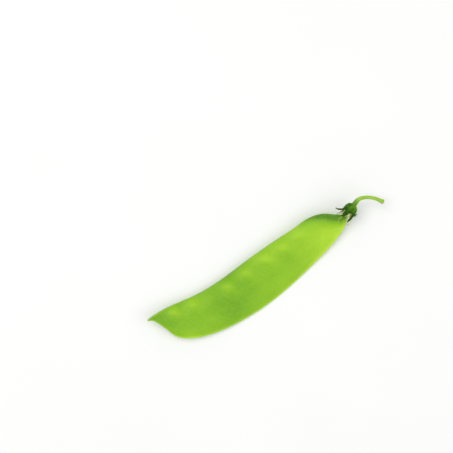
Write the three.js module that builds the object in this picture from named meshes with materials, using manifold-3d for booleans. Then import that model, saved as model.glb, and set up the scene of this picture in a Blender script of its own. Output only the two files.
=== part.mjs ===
// A snow pea pod as picked, lying on its side: the flat pod with its small peas, the calyx and the
// withered stamens round its neck, and the short stalk that it hung from.
//
// Millimetres, +Z up. +X runs along the pod from its tip to its stalk, and +Y is the side of the seam that
// bears the peas. The origin is under the middle of the whole, on the surface that it lies on.

import * as THREE from "three";
import { mergeVertices } from "three/addons/utils/BufferGeometryUtils.js";
import Module from "manifold-3d";

// ---------------------------------------------------------------- driving dimensions

// The pod is lofted between its two sutures: the seam, which bears the peas, and the keel across from it.
// half is half the thickness there. x is measured from the tip of the beak.
const STATIONS = [
  { seam: [0.0, 0.8], keel: [0.1, 0.0], half: 0.4 },
  { seam: [2.2, 1.15], keel: [1.95, -1.3], half: 0.66 },
  { seam: [5.5, 1.3], keel: [4.15, -5.5], half: 1.0 },
  { seam: [10.0, 1.25], keel: [6.95, -11.3], half: 1.5 },
  { seam: [16.0, 0.6], keel: [12.8, -15.1], half: 1.9 },
  { seam: [24.0, 0.1], keel: [21.8, -17.4], half: 2.1 },
  { seam: [34.0, 0.8], keel: [33.0, -18.1], half: 2.2 },
  { seam: [46.0, 2.7], keel: [45.2, -17.3], half: 2.2 },
  { seam: [57.5, 4.2], keel: [57.5, -14.9], half: 2.2 },
  { seam: [67.5, 5.2], keel: [68.2, -11.8], half: 2.1 },
  { seam: [75.2, 6.3], keel: [76.9, -8.9], half: 2.0 },
  { seam: [81.2, 5.5], keel: [83.2, -6.0], half: 1.8 },
  { seam: [86.0, 2.7], keel: [87.2, -3.3], half: 1.5 },
  { seam: [88.9, 1.35], keel: [89.7, -0.75], half: 1.05 },
  { seam: [92.0, 2.95], keel: [93.0, 1.1], half: 1.05 },
];
const BEAD_RADIUS = 0.62; // the string that runs along each suture
const SECTION_POWER = 0.62; // how full the section is: 0.5 is an ellipse, 1 a parabola
const SEAM_FULLER = 0.12; // share by which the seam's side is thicker than the keel's
// A shallow trough runs along each valve. It is in shares of the half width, and fades out in thin stretches.
const TROUGH = { depth: 0.5, at: -0.2, width: 0.4, fadeBelow: 2.1, noneBelow: 1.4 };

// Each pea lifts both valves. They hang in a row under the seam.
const PEAS = [
  { x: 10.6, lift: 0.7, spread: 2.1 },
  { x: 18.8, lift: 0.8, spread: 2.4 },
  { x: 26.9, lift: 0.35, spread: 2.1 },
  { x: 35.1, lift: 0.95, spread: 2.6 },
  { x: 44.2, lift: 0.9, spread: 2.6 },
  { x: 53.3, lift: 1.0, spread: 2.6 },
  { x: 61.8, lift: 0.85, spread: 2.5 },
  { x: 70.4, lift: 0.4, spread: 2.2 },
];
const PEA_UNDER_SEAM = 4.3;
const PEA_EDGE_POWER = 8; // how sharply the lift ends at the sutures

// The ends rise off the surface, and the pod is a little twisted along its length.
const MIDDLE_X = 45;
const TIP_RISE = 2.4;
const NECK_RISE = 5.2;
const RISE_POWER = 3;
const TWIST_DEG = 6; // at each end, against the middle
const REST_ROLL_DEG = 6.86; // turns that lay the pod on its peas and its belly
const REST_PITCH_DEG = 1.04;
const FLAT_SPOT_DEPTH = 0.22; // how far the surface flattens the pod where it bears

// The calyx is a cup round the neck with five sepals. A turn is about the cup's axis, from the seam's side
// towards the top. A flare leans out from that axis, and a curl is the further lean by the tip.
// Sway turns its tip round the axis, and a twist turns the blade about its own length.
const CUP = { length: 3.5, mouthRadius: 2.75, baseRadius: 0.95, innerRadius: 2.12, floor: 1.5 };
const SEPALS = [
  { turnDeg: 6, length: 5.2, width: 1.9, flareDeg: 58, curlDeg: 40, swayDeg: 6, twistDeg: 16 },
  { turnDeg: 68, length: 5.2, width: 1.9, flareDeg: 44, curlDeg: 26, swayDeg: -6, twistDeg: -20 },
  { turnDeg: 150, length: 5.6, width: 2.0, flareDeg: 2, curlDeg: 0, swayDeg: 2, twistDeg: 20 },
  { turnDeg: 216, length: 5.0, width: 1.9, flareDeg: 80, curlDeg: 60, swayDeg: 6, twistDeg: -18 },
  { turnDeg: 292, length: 5.4, width: 1.8, flareDeg: 28, curlDeg: -6, swayDeg: 8, twistDeg: 14 },
];
const SEPAL_THICKNESS = 0.6;
const SEPAL_ARCH = 0.22; // how far a sepal's edges bend in, towards the pod
const SEPAL_ROOT = { radius: 2.36, depth: 1.8, leanDeg: 6 }; // where it starts, inside the cup's wall
const SEPAL_FLARES = [0.2, 0.5]; // the shares of its length where it starts and ends leaning out
const SEPAL_CURLS_FROM = 0.4;
const SEPAL_TIP_WIDTH = 0.4;

// The withered stamens: a sheath between the neck and the cup, and a thread for each stamen.
const SHEATH = { length: 3.0, innerRadius: 1.35, wall: 0.45 };
const FIRST_GAP_DEG = 41; // the turn of the first gap between two sepals
const THREADS_PER_GAP = 2;
const THREAD_SPREAD_DEG = 20; // between the two
const THREAD_RADIUS = 0.3;
const THREAD_ROOT = 0.8; // how deep a thread starts in the sheath
const THREAD_LENGTH = [2.8, 5.2]; // shortest and longest
const THREAD_FLARE_DEG = { seam: 52, face: 24, keel: 28 }; // what clears the pod on each side
const THREAD_CURL_DEG = [-30, 60];
const THREAD_SWAY_DEG = [-15, 15];
const ANTHER_RADIUS = 0.38;
const THREAD_SEED = 20;

// The stalk leaves the cup's base and hooks over. Its route is in the cup's own frame, from the cup's base:
// towards the seam, towards the pod and up.
const STALK_ROUTE = [
  { at: [0, 0, 0], radius: 1.0 },
  { at: [-0.2, -2.7, 0.1], radius: 0.82 },
  { at: [-2.2, -4.9, -0.4], radius: 0.7 },
  { at: [-5.6, -6.3, -1.5], radius: 0.7 },
  { at: [-9.2, -6.6, -3.0], radius: 0.85 },
];

const NECK_GAP = 0.3; // between pieces that meet

// Fineness of the facets
const POD_RINGS = 84;
const POD_SIDES = 40;
const ROUND_SIDES = 20;
const SEPAL_STEPS = 9;
const THREAD_SIDES = 5;
const THREAD_STEPS = 6;
const STALK_SIDES = 10;
const STALK_STEPS = 22;

const rad = THREE.MathUtils.degToRad;
const smooth = THREE.MathUtils.smoothstep;

// ---------------------------------------------------------------- building solids

// A closed skin over rings of points, each ring anticlockwise when seen from the last one, with flat ends.
function loft(rings) {
  const sides = rings[0].length;
  const points = rings.flat();
  const faces = [];
  const at = (ring, side) => ring * sides + (side % sides);
  for (let ring = 0; ring + 1 < rings.length; ring++) {
    for (let side = 0; side < sides; side++) {
      faces.push(at(ring, side), at(ring, side + 1), at(ring + 1, side));
      faces.push(at(ring, side + 1), at(ring + 1, side + 1), at(ring + 1, side));
    }
  }
  for (const [ring, turned] of [[0, true], [rings.length - 1, false]]) {
    const centre = points.length;
    points.push(rings[ring].reduce((sum, p) => sum.add(p), new THREE.Vector3()).divideScalar(sides));
    for (let side = 0; side < sides; side++) {
      const [a, b] = [at(ring, side), at(ring, side + 1)];
      faces.push(centre, ...(turned ? [b, a] : [a, b]));
    }
  }
  return new THREE.BufferGeometry().setFromPoints(points).setIndex(faces);
}

// A round bar along a path, with its radius given at each of the path's points.
function bar(path, radii, sides) {
  let across = new THREE.Vector3(0, 0, 1);
  const rings = path.map((centre, i) => {
    const along = path[Math.min(i + 1, path.length - 1)].clone().sub(path[Math.max(i - 1, 0)]).normalize();
    across = across.addScaledVector(along, -across.dot(along)).normalize().clone();
    const up = along.clone().cross(across);
    return Array.from({ length: sides }, (_, side) => {
      const angle = (2 * Math.PI * side) / sides;
      return centre
        .clone()
        .addScaledVector(across, radii[i] * Math.cos(angle))
        .addScaledVector(up, radii[i] * Math.sin(angle));
    });
  });
  return loft(rings);
}

const wasm = await Module();
wasm.setup();

function toSolid(geometry) {
  const bare = new THREE.BufferGeometry().setAttribute("position", geometry.getAttribute("position"));
  if (geometry.index) bare.setIndex(geometry.index);
  const merged = mergeVertices(bare, 1e-4);
  return new wasm.Manifold(
    new wasm.Mesh({
      numProp: 3,
      vertProperties: new Float32Array(merged.getAttribute("position").array),
      triVerts: new Uint32Array(merged.index.array),
    }),
  );
}

// All of the geometries fused into one closed body.
function fuse(geometries) {
  const solid = geometries.map(toSolid).reduce((a, b) => a.add(b));
  const { numProp, numVert, vertProperties, triVerts } = solid.getMesh();
  const position = new Float32Array(3 * numVert);
  for (let i = 0; i < numVert; i++) {
    position.set(vertProperties.subarray(i * numProp, i * numProp + 3), 3 * i);
  }
  return new THREE.BufferGeometry()
    .setAttribute("position", new THREE.BufferAttribute(position, 3))
    .setIndex(new THREE.BufferAttribute(triVerts, 1));
}

// ---------------------------------------------------------------- the pod

const seamLine = new THREE.SplineCurve(STATIONS.map(({ seam }) => new THREE.Vector2(...seam)));
const keelLine = new THREE.SplineCurve(STATIONS.map(({ keel }) => new THREE.Vector2(...keel)));
const halfLine = new THREE.SplineCurve(STATIONS.map(({ half }, i) => new THREE.Vector2(i, half)));
const NECK_X = STATIONS.at(-1).seam[0];

// Height and slope of the pod's middle line at x.
function rise(x) {
  const [top, reach] = x > MIDDLE_X ? [NECK_RISE, NECK_X - MIDDLE_X] : [TIP_RISE, MIDDLE_X];
  const share = Math.abs(x - MIDDLE_X) / reach;
  const slope = (Math.sign(x - MIDDLE_X) * RISE_POWER * top * share ** (RISE_POWER - 1)) / reach;
  return { height: top * share ** RISE_POWER, tilt: Math.atan(slope) };
}

function twist(x) {
  return rad(TWIST_DEG) * THREE.MathUtils.clamp((x - MIDDLE_X) / MIDDLE_X, -1, 1);
}

// Half the pod's thickness where share runs from -1 at the keel to 1 at the seam, without its peas.
function halfThickness(share, halfWidth, half) {
  const body = half * (1 - share * share) ** SECTION_POWER * (1 + SEAM_FULLER * share);
  const trough = TROUGH.depth * Math.exp(-(((share - TROUGH.at) / TROUGH.width) ** 2));
  const troughFade = smooth(half, TROUGH.noneBelow, TROUGH.fadeBelow);
  const fromEdge = halfWidth * (1 - Math.abs(share));
  const beadRadius = Math.min(BEAD_RADIUS, half);
  const bead = Math.sqrt(Math.max(0, beadRadius ** 2 - (beadRadius - fromEdge) ** 2));
  return Math.max(body - trough * troughFade, fromEdge < 2 * beadRadius ? bead : 0);
}

function peaLift(x, y, seamY) {
  return PEAS.reduce((sum, pea) => {
    const away = Math.hypot(x - pea.x, y - (seamY - PEA_UNDER_SEAM)) / pea.spread;
    return sum + pea.lift * Math.exp(-away * away);
  }, 0);
}

function podRing(t) {
  const seam = seamLine.getPoint(t);
  const keel = keelLine.getPoint(t);
  const half = halfLine.getPoint(t).y;
  const middle = seam.clone().add(keel).divideScalar(2);
  const across = seam.clone().sub(keel).divideScalar(2);
  const halfWidth = across.length();
  const { height, tilt } = rise(middle.x);
  return Array.from({ length: POD_SIDES }, (_, side) => {
    const angle = (2 * Math.PI * side) / POD_SIDES;
    const share = Math.cos(angle);
    const face = Math.sign(Math.round(1e6 * Math.sin(angle)));
    const [x, y] = [middle.x + across.x * share, middle.y + across.y * share];
    const peas = peaLift(x, y, seam.y) * (1 - share ** PEA_EDGE_POWER);
    const thick = halfThickness(share, halfWidth, half) + peas;
    const lift = halfWidth * share * Math.sin(twist(x)) + face * thick;
    return new THREE.Vector3(
      x - lift * Math.sin(tilt),
      middle.y + across.y * share * Math.cos(twist(x)),
      height + lift * Math.cos(tilt),
    );
  });
}

function podGeometry() {
  return loft(Array.from({ length: POD_RINGS + 1 }, (_, i) => podRing(i / POD_RINGS)));
}

// Turns the pod as it rests, and flattens it where it bears. Gives the height of the surface too.
const layDown = new THREE.Matrix4().makeRotationFromEuler(
  new THREE.Euler(rad(REST_ROLL_DEG), rad(REST_PITCH_DEG), 0, "XYZ"),
);

function restingPod() {
  const geometry = podGeometry().applyMatrix4(layDown);
  geometry.computeBoundingBox();
  const surface = geometry.boundingBox.min.z + FLAT_SPOT_DEPTH;
  const position = geometry.getAttribute("position");
  for (let i = 0; i < position.count; i++) position.setZ(i, Math.max(surface, position.getZ(i)));
  return { geometry, surface };
}

// ---------------------------------------------------------------- calyx, stamens and stalk
// These are built in the cup's frame, from its base: x towards the seam, y towards the pod's tip and z up.

function cupFrame() {
  const [before, last] = STATIONS.slice(-2).map(({ seam, keel }) => [
    (seam[0] + keel[0]) / 2,
    (seam[1] + keel[1]) / 2,
  ]);
  const place = ([x, y]) => new THREE.Vector3(x, y, rise(x).height);
  const forward = place(before).sub(place(last)).normalize();
  const seamward = new THREE.Vector3(0, 0, 1).cross(forward).negate().normalize();
  const up = seamward.clone().cross(forward).normalize();
  const origin = place(last).addScaledVector(forward, -(CUP.floor + NECK_GAP));
  return new THREE.Matrix4().makeBasis(seamward, forward, up).setPosition(origin);
}

function onCup(radius, turn, forward) {
  return new THREE.Vector3(radius * Math.cos(turn), forward, radius * Math.sin(turn));
}

function turned(profile) {
  return new THREE.LatheGeometry(profile.map((p) => new THREE.Vector2(...p)), ROUND_SIDES);
}

// A sepal's width along its length, as a share: widest a third of the way up, and pointed.
function sepalWidth(s) {
  return (0.85 + 0.8 * s) * (1 - s ** 1.6) ** 0.9;
}

function sepal({ turnDeg, length, width, flareDeg, curlDeg, swayDeg, twistDeg }) {
  const spots = [-1, -0.5, 0, 0.5, 1];
  let radius = SEPAL_ROOT.radius;
  let forward = CUP.length - SEPAL_ROOT.depth;
  const rings = Array.from({ length: SEPAL_STEPS + 1 }, (_, i) => {
    const s = i / SEPAL_STEPS;
    const turn = rad(turnDeg + swayDeg * s * s);
    const flare = THREE.MathUtils.lerp(SEPAL_ROOT.leanDeg, flareDeg, smooth(s, ...SEPAL_FLARES));
    const curled = Math.max(0, (s - SEPAL_CURLS_FROM) / (1 - SEPAL_CURLS_FROM)) ** 1.5;
    const lean = rad(flare + curlDeg * curled);
    const along = onCup(Math.sin(lean), turn, Math.cos(lean));
    const out = onCup(Math.cos(lean), turn, -Math.sin(lean)).applyAxisAngle(along, rad(twistDeg * s));
    const side = out.clone().cross(along);
    const half = (width / 2) * sepalWidth(s) + (SEPAL_TIP_WIDTH / 2) * s;
    const centre = onCup(radius, turn, forward);
    const place = (spot, face) => {
      const arch = SEPAL_ARCH * spot * spot * ((2 * half) / width);
      return centre
        .clone()
        .addScaledVector(side, spot * half)
        .addScaledVector(out, (face * SEPAL_THICKNESS) / 2 - arch);
    };
    radius += (Math.sin(lean) * length) / SEPAL_STEPS;
    forward += (Math.cos(lean) * length) / SEPAL_STEPS;
    return [...spots.map((spot) => place(spot, -1)), ...spots.toReversed().map((spot) => place(spot, 1))];
  });
  return loft(rings);
}

function calyxGeometry() {
  const { length, mouthRadius, baseRadius, innerRadius, floor } = CUP;
  const cup = turned([
    [0, 0],
    [baseRadius, 0],
    [0.54 * mouthRadius, 0.07 * length],
    [0.79 * mouthRadius, 0.25 * length],
    [0.94 * mouthRadius, 0.52 * length],
    [mouthRadius, length],
    [innerRadius, length],
    [innerRadius, floor + 0.5],
    [0.9 * innerRadius, floor],
    [0, floor],
  ]);
  return fuse([cup, ...SEPALS.map(sepal)]);
}

// Numbers from 0 to 1 that come out alike every time.
function seeded(seed) {
  let state = seed;
  return () => {
    state = (state * 48271) % 2147483647;
    return state / 2147483647;
  };
}

function thread(turn, random) {
  const between = ([low, high]) => THREE.MathUtils.lerp(low, high, random());
  const length = between(THREAD_LENGTH);
  const curl = rad(between(THREAD_CURL_DEG));
  const sway = rad(between(THREAD_SWAY_DEG));
  const { seam, face, keel } = THREAD_FLARE_DEG;
  const flare = rad(THREE.MathUtils.lerp(face, Math.cos(turn) > 0 ? seam : keel, Math.cos(turn) ** 2));
  let radius = SHEATH.innerRadius + SHEATH.wall / 2;
  let forward = CUP.floor + NECK_GAP + SHEATH.length - THREAD_ROOT;
  const path = Array.from({ length: THREAD_STEPS + 1 }, (_, i) => {
    const s = i / THREAD_STEPS;
    const point = onCup(radius, turn + sway * s * s, forward);
    const lean = flare * smooth(s, 0, 0.4) + curl * s * s;
    radius += (Math.sin(lean) * length) / THREAD_STEPS;
    forward += (Math.cos(lean) * length) / THREAD_STEPS;
    return point;
  });
  const anther = new THREE.IcosahedronGeometry(ANTHER_RADIUS, 0).translate(...path.at(-1));
  return [bar(path, path.map(() => THREAD_RADIUS), THREAD_SIDES), anther];
}

function stamensGeometry() {
  const { innerRadius, wall, length } = SHEATH;
  const from = CUP.floor + NECK_GAP;
  const sheath = turned([
    [innerRadius, from],
    [innerRadius + wall, from],
    [innerRadius + wall, from + length],
    [innerRadius, from + length],
    [innerRadius, from],
  ]);
  const random = seeded(THREAD_SEED);
  const threads = SEPALS.flatMap((_, gap) =>
    Array.from({ length: THREADS_PER_GAP }, (_, i) => {
      const aside = (i / (THREADS_PER_GAP - 1) - 0.5) * THREAD_SPREAD_DEG;
      return thread(rad(FIRST_GAP_DEG + (360 * gap) / SEPALS.length + aside), random);
    }).flat(),
  );
  return fuse([sheath, ...threads]);
}

function stalkGeometry() {
  const route = new THREE.CatmullRomCurve3(
    STALK_ROUTE.map(({ at: [x, y, z] }) => new THREE.Vector3(x, y - NECK_GAP, z)),
  );
  const width = new THREE.SplineCurve(STALK_ROUTE.map(({ radius }, i) => new THREE.Vector2(i, radius)));
  const shares = Array.from({ length: STALK_STEPS + 1 }, (_, i) => i / STALK_STEPS);
  return bar(shares.map((t) => route.getPoint(t)), shares.map((t) => width.getPoint(t).y), STALK_SIDES);
}

// ---------------------------------------------------------------- assembly

const MATERIALS = {
  pod: new THREE.MeshStandardMaterial({ color: 0x8cc63a, roughness: 0.42, metalness: 0 }),
  calyx: new THREE.MeshStandardMaterial({ color: 0x3c6519, roughness: 0.6, metalness: 0 }),
  stamens: new THREE.MeshStandardMaterial({ color: 0xb99a55, roughness: 0.8, metalness: 0 }),
  stalk: new THREE.MeshStandardMaterial({ color: 0x9fc64a, roughness: 0.5, metalness: 0 }),
};

function named(name, geometry) {
  const mesh = new THREE.Mesh(geometry, MATERIALS[name]);
  mesh.name = name;
  return mesh;
}

const { geometry: podSkin, surface } = restingPod();

const flowerEnd = new THREE.Group();
flowerEnd.applyMatrix4(layDown.clone().multiply(cupFrame()));
flowerEnd.add(
  named("calyx", calyxGeometry()),
  named("stamens", stamensGeometry()),
  named("stalk", stalkGeometry()),
);

const whole = new THREE.Group();
whole.add(named("pod", podSkin), flowerEnd);

const box = new THREE.Box3().setFromObject(whole, true);
const centre = box.getCenter(new THREE.Vector3());
whole.position.set(-centre.x, -centre.y, -surface);

export default whole;
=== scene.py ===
"""The looks of the snow pea pod: its skin, its calyx, its withered stamens and its stalk.

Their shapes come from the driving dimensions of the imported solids, in mm, and from finer ones that the solids
leave out. The pod is built in its own frame first: x along it from the beak, y towards the seam that bears
the peas, z up. The calyx, stamens and stalk are built in the cup's frame, from the cup's base: x towards the
seam, y towards the pod and z up. Each piece is then laid down, placed by the frame and turned into metres.
"""

import math

import bpy
import numpy as np
from mathutils import Euler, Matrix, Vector


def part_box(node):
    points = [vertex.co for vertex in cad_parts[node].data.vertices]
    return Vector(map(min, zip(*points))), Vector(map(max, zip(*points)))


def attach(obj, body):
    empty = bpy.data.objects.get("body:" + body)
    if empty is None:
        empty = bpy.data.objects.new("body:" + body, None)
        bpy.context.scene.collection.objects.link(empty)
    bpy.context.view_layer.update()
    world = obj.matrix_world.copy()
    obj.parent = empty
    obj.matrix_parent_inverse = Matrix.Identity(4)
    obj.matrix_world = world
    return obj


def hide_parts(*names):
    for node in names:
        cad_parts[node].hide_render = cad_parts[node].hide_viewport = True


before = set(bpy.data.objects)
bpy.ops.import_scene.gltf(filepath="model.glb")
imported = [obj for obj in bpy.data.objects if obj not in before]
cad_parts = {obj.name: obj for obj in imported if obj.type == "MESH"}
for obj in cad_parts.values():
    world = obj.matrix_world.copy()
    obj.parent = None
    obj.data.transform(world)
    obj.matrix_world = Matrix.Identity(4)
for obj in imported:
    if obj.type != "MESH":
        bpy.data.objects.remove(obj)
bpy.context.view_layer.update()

MM = 0.001

# -------- the pod, in mm

# From the beak to the neck: x and y of the seam, x and y of the keel across from it, and half the thickness
STATIONS = np.array([
    [0.0, 0.8, 0.1, 0.0, 0.4],
    [2.2, 1.15, 1.95, -1.3, 0.66],
    [5.5, 1.3, 4.15, -5.5, 1.0],
    [10.0, 1.25, 6.95, -11.3, 1.5],
    [16.0, 0.6, 12.8, -15.1, 1.9],
    [24.0, 0.1, 21.8, -17.4, 2.1],
    [34.0, 0.8, 33.0, -18.1, 2.2],
    [46.0, 2.7, 45.2, -17.3, 2.2],
    [57.5, 4.2, 57.5, -14.9, 2.2],
    [67.5, 5.2, 68.2, -11.8, 2.1],
    [75.2, 6.3, 76.9, -8.9, 2.0],
    [81.2, 5.5, 83.2, -6.0, 1.8],
    [86.0, 2.7, 87.2, -3.3, 1.5],
    [88.9, 1.35, 89.7, -0.75, 1.05],
    [92.0, 2.95, 93.0, 1.1, 1.05],
])
SEAM, KEEL, HALF = STATIONS[:, 0:2], STATIONS[:, 2:4], STATIONS[:, 4:5]
POD_LENGTH = SEAM[-1, 0]
SECTION_POWER = 0.62
SEAM_FULLER = 0.12
TROUGH_DEPTH, TROUGH_AT, TROUGH_WIDTH = 0.5, -0.2, 0.4  # a dip along each valve, in shares of its half width
TROUGH_FADE = (1.4, 2.1)  # half thicknesses between which it deepens
BEAD_BLEND = 0.2  # how softly the string meets the valve

PEAS = np.array([  # x, lift, spread, and how far under the seam, where the solid has 4.3 for all
    [10.6, 0.7, 2.1, 3.0],
    [18.8, 0.8, 2.4, 3.0],
    [26.9, 0.35, 2.1, 4.2],
    [35.1, 0.95, 2.6, 4.1],
    [44.2, 0.9, 2.6, 4.1],
    [53.3, 1.0, 2.6, 4.1],
    [61.8, 0.85, 2.5, 4.0],
    [70.4, 0.4, 2.2, 3.8],
])
PEA_LEAN = 0.3  # towards the neck for each mm towards the keel
PEA_ROUNDNESS = 0.8  # 1 is round, and less is longer across the pod
PEA_EDGE_POWER = 8

MIDDLE_X = 45
TIP_RISE, NECK_RISE, RISE_POWER = 2.4, 5.2, 3
TWIST = math.radians(6)
REST_TURN = np.array(Euler((math.radians(6.86), math.radians(1.04), 0)).to_matrix())
FLAT_SPOT_DEPTH = 0.22
POD_RINGS, POD_SIDES = 420, 220
POD_CAP = (0.3, 5)  # how far a rounded end bulges, and in how many steps
EVENLY_SPACED = 0.75  # the rest of the spacing follows the stations, which are closer at the ends
CURVE_STEPS = 4000

# -------- relief that the pod's solid leaves out, in mm

RIB_RADIUS = 0.42  # the string along each suture
RIB_TAPER, RIB_TAPER_REACH = 0.42, (0.2, 3.2)  # how much thinner the valve gets towards the string, and where
RIB_TAPER_FADE = (2.0, 6.0)  # half widths of the pod between which that sets in
SEAM_GROOVE, SEAM_GROOVE_WIDTH = 0.14, 0.15  # the furrow between the seam's two strings
SEAM_GROOVE_FADE = (0.9, 1.6)  # half thicknesses between which it deepens
SAG, SAG_DEPTH, SAG_SPREAD = 0.16, 3.7, (1.9, 2.8)  # between two peas, that far under the seam
SWELL, SWELL_SIZE, SWELL_FADE = 0.12, 24.0, (1.0, 2.0)  # long waves that both valves share
DIMPLE, DIMPLE_SIZE = 0.04, 5.5  # short waves of each valve by itself
DIMPLES_APART, VEINS_APART = 40, 60  # so that the two valves don't share a pattern
EDGE_FADE = (0.6, 3.0)  # waves and dimples set in between these distances from a suture
FOLD_DEPTH, FOLDS, FOLD_WANDER = 0.07, 13, 0.6  # lengthwise folds where the skin draws together
FOLD_EDGE = (0.1, 0.8)  # distances from a suture between which they deepen
NECK_FOLDS_START, NECK_FOLDS_END = (82.5, 89.0), (90.5, 92)
BEAK_FOLDS, BEAK_FOLDS_END = 0.7, (2.5, 8.0)  # how deep those at the beak are beside those at the neck
THIN_SKIN = 0.3  # half thickness below which the small relief fades out

VEIN_RELIEF = 0.018
VEINS = [  # slope, spacing, sharpness, height, and ripples as depth, wavelength and seed
    (0.75, 2.1, 6, 1, [(0.8, 9.0, 11), (0.25, 3.0, 12)]),  # from the seam to the keel
    (-1.6, 2.3 * 2.1, 9, 0.7, [(1.1, 7.0, 13)]),  # fainter ones that link those
]

# -------- tones of the pod's skin

GLOWS = np.array([  # where peas show through, as their paler colour with a painted glow of light through the skin: x, depth under the seam, strength and lean
    [10.4, 2.4, 1.0, 0.2],
    [18.9, 2.2, 0.85, 0.3],
    [34.0, 3.8, 1.1, 0.5],
    [43.1, 3.7, 0.85, 0.6],
    [53.2, 3.6, 0.85, 0.6],
    [61.4, 3.5, 0.7, 0.7],
    [70.0, 3.3, 0.4, 0.7],
    [75.5, 3.2, 0.3, 0.3],
])
GLOW_WIDTH, GLOW_SEAMWARD, GLOW_KEELWARD = 2.6, 2.1, 2.5  # reach along the pod and to both sides, in mm
GLOW_DRAWN = 1.8  # how much further towards the keel for each 1 of lean
STREAK, STREAK_WIDTH = 0.15, 3.0  # the faint streak from each down the valve
STREAK_START, STREAK_END = (4, 8), (10, 16)

# What each patch adds to the tone, from 0, darkest, to 1. Its place along the pod is in shares of the length,
# and its place across it in shares of the half width, towards the keel. A pair that bell() takes is a middle
# and a reach, and one that smooth() takes is a start and an end.
TONE_AT_BEAK = 0.28
TONE_RISES = [(0.08, 0.06, 0.16), (0.09, 0.42, 0.55), (0.32, 0.62, 0.86)]  # by how much, start and end
# Painted shade: darker at the waist, in the shallow hollow along the valve
WAIST_SHADE_TONE, WAIST_ALONG = -0.08, (0.35, 0.09)
BELLY_ALONG = (0.13, 0.05)
BELLY_KEEL_TONE, BELLY_KEEL_ACROSS = 0.24, (0.3, 0.9)
BELLY_MIDDLE_TONE, BELLY_MIDDLE_ACROSS = -0.12, (0, 0.35)
# Painted shade: darker by the seam near the neck, where shadow falls on the shoulder
SHOULDER_SHADE_TONE, SHOULDER_ALONG = -1.08, (0.72, 0.93)
SHOULDER_REACH, SHOULDER_WIDENS, SHOULDER_POWER = (3.6, 4.9), (0.85, 0.93), 1.6  # reach in mm from the seam
# Painted shade: darker along the seam's edge
SEAM_SHADE_TONE, SEAM_ALONG, SEAM_TONE_REACH = -0.34, (0.03, 0.1), 1.4
# Painted light: lighter on the keel side of the neck
NECK_LIGHT_TONE, NECK_ALONG, NECK_ACROSS = 0.2, (0.86, 0.93), (-0.1, 0.8)
FLANK_TONE, FLANK_ALONG, FLANK_ACROSS = -0.09, (0.76, 0.12), (0, 0.6)
# The first lightens the skin towards both sutures with painted light; the second is how much the peas add,
# their paler colour with a painted glow through the skin
EDGE_LIGHT_TONE, PEA_GLOW_TONE = 0.2, 0.27

RIM_STRENGTH, RIM_WIDTH = (0.75, 0.4), (0.52, 0.4)  # of the pale strings with their painted highlight, at the beak and further on
RIM_CHANGES = (9, 18)  # x between which they change
RIM_AT_SEAM, RIM_BETWEEN = 0.4, (-0.2, 0.2)  # how pale the seam's string is beside the keel's, which carries more painted highlight
TIP_DRYNESS, TIP_DRY_UNTIL = 0.8, (-0.5, 1.3)  # the beak's dry end
TIP_RAGGED, TIP_TEARS = 0.25, 5

# -------- the calyx, in mm and degrees

CUP_LENGTH, CUP_MOUTH, CUP_BASE, CUP_FLOOR = 3.5, 2.75, 0.95, 1.5
CUP_SHARES = np.array([0, 0.07, 0.25, 0.52, 1.0, 2.0])  # of its length
CUP_RADII = np.array([CUP_BASE / CUP_MOUTH, 0.54, 0.79, 0.94, 1.0, 1.0])  # there, as shares of its mouth's
NECK_GAP = 0.3
SEPALS = [  # as the solid's, apart from the third
    dict(turn=6, length=5.2, width=1.9, flare=58, curl=40, sway=6, twist=16),
    dict(turn=68, length=5.2, width=1.9, flare=44, curl=26, sway=-6, twist=-20),
    dict(turn=150, length=5.6, width=2.0, flare=2, curl=-26, sway=-4, twist=20),  # bends in further
    dict(turn=216, length=5.0, width=1.9, flare=80, curl=60, sway=6, twist=-18),
    dict(turn=292, length=5.4, width=1.8, flare=28, curl=-6, sway=8, twist=14),
]
SEPAL_ARCH = 0.22
SEPAL_BASE, SEPAL_WIDENS, SEPAL_CLOSES, SEPAL_BLUNT = 0.85, 0.8, 1.6, 0.9  # its outline
SEPAL_ROOT_RADIUS, SEPAL_ROOT_DEPTH, SEPAL_ROOT_LEAN = 2.36, 1.8, 6
SEPAL_FLARES = (0.2, 0.5)
SEPAL_CURLS_FROM, SEPAL_CURL_POWER = 0.4, 1.5
SEPAL_LAG = 1 / 18  # half a step of the solid's blade
SEPAL_MEAN_LENGTH = 5.4
SEPAL_PARTS = (0.14, 0.4)  # where neighbours part, and where each has its own width
CUP_ROWS, SEPAL_ROWS, SEPAL_COLUMNS = 10, 60, 20
CUP_START, WELD_DISTANCE = 0.02, 0.01

# What the calyx's solid leaves out. Spans are shares of a sepal's length.
SEPAL_SHEET = 0.28
SEPAL_THIN = 0.35  # share of that left at a withered edge
SEPAL_WITHERS, MARGIN_THINNER, TIP_THINNER = (0.55, 1), 0.7, 0.8
SEPAL_CRINKLE, SEPAL_CRINKLES, SEPAL_CRINKLE_SPAN = 0.16, 9, (0.25, 0.7)
SEPAL_CRINKLE_SLANT, SEPAL_CRINKLE_STEP = 0.2, 1.5  # and how far the two margins are out of step
SEPAL_FOLD, SEPAL_FOLD_SPAN = 0.5, (0.3, 0.8)  # further bend of its edges, towards the withered tip
SEPAL_HOOK, SEPAL_HOOK_SPAN = 30, (0.75, 1)  # further lean of the withered tip
SEPAL_POINT, SEPAL_POINT_SPAN = 0.35, (0.45, 1)  # how much narrower the tip is than the solid's
SEPAL_TIP_HALF = 0.03  # half width left at the very tip
MIDRIB_HEIGHT, MIDRIB_WIDTH = 0.13, (0.1, 0.16)  # widths at base and tip, as shares of half a blade
LATERAL_HEIGHT, LATERAL_WIDTH, LATERAL_END = 0.05, 0.08, (0.15, 0.5)  # a vein halfway to each margin
MIDRIB_LOWERS, LATERAL_PALE = 0.6, 0.6  # towards the tip, and beside the midrib
FURROW_DEPTH, FURROW_WIDTH = 0.08, 0.1  # between two sepals that have grown together
PUCKER, PUCKER_SIZE, PUCKER_SEED = 0.07, 1.6, 21
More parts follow.
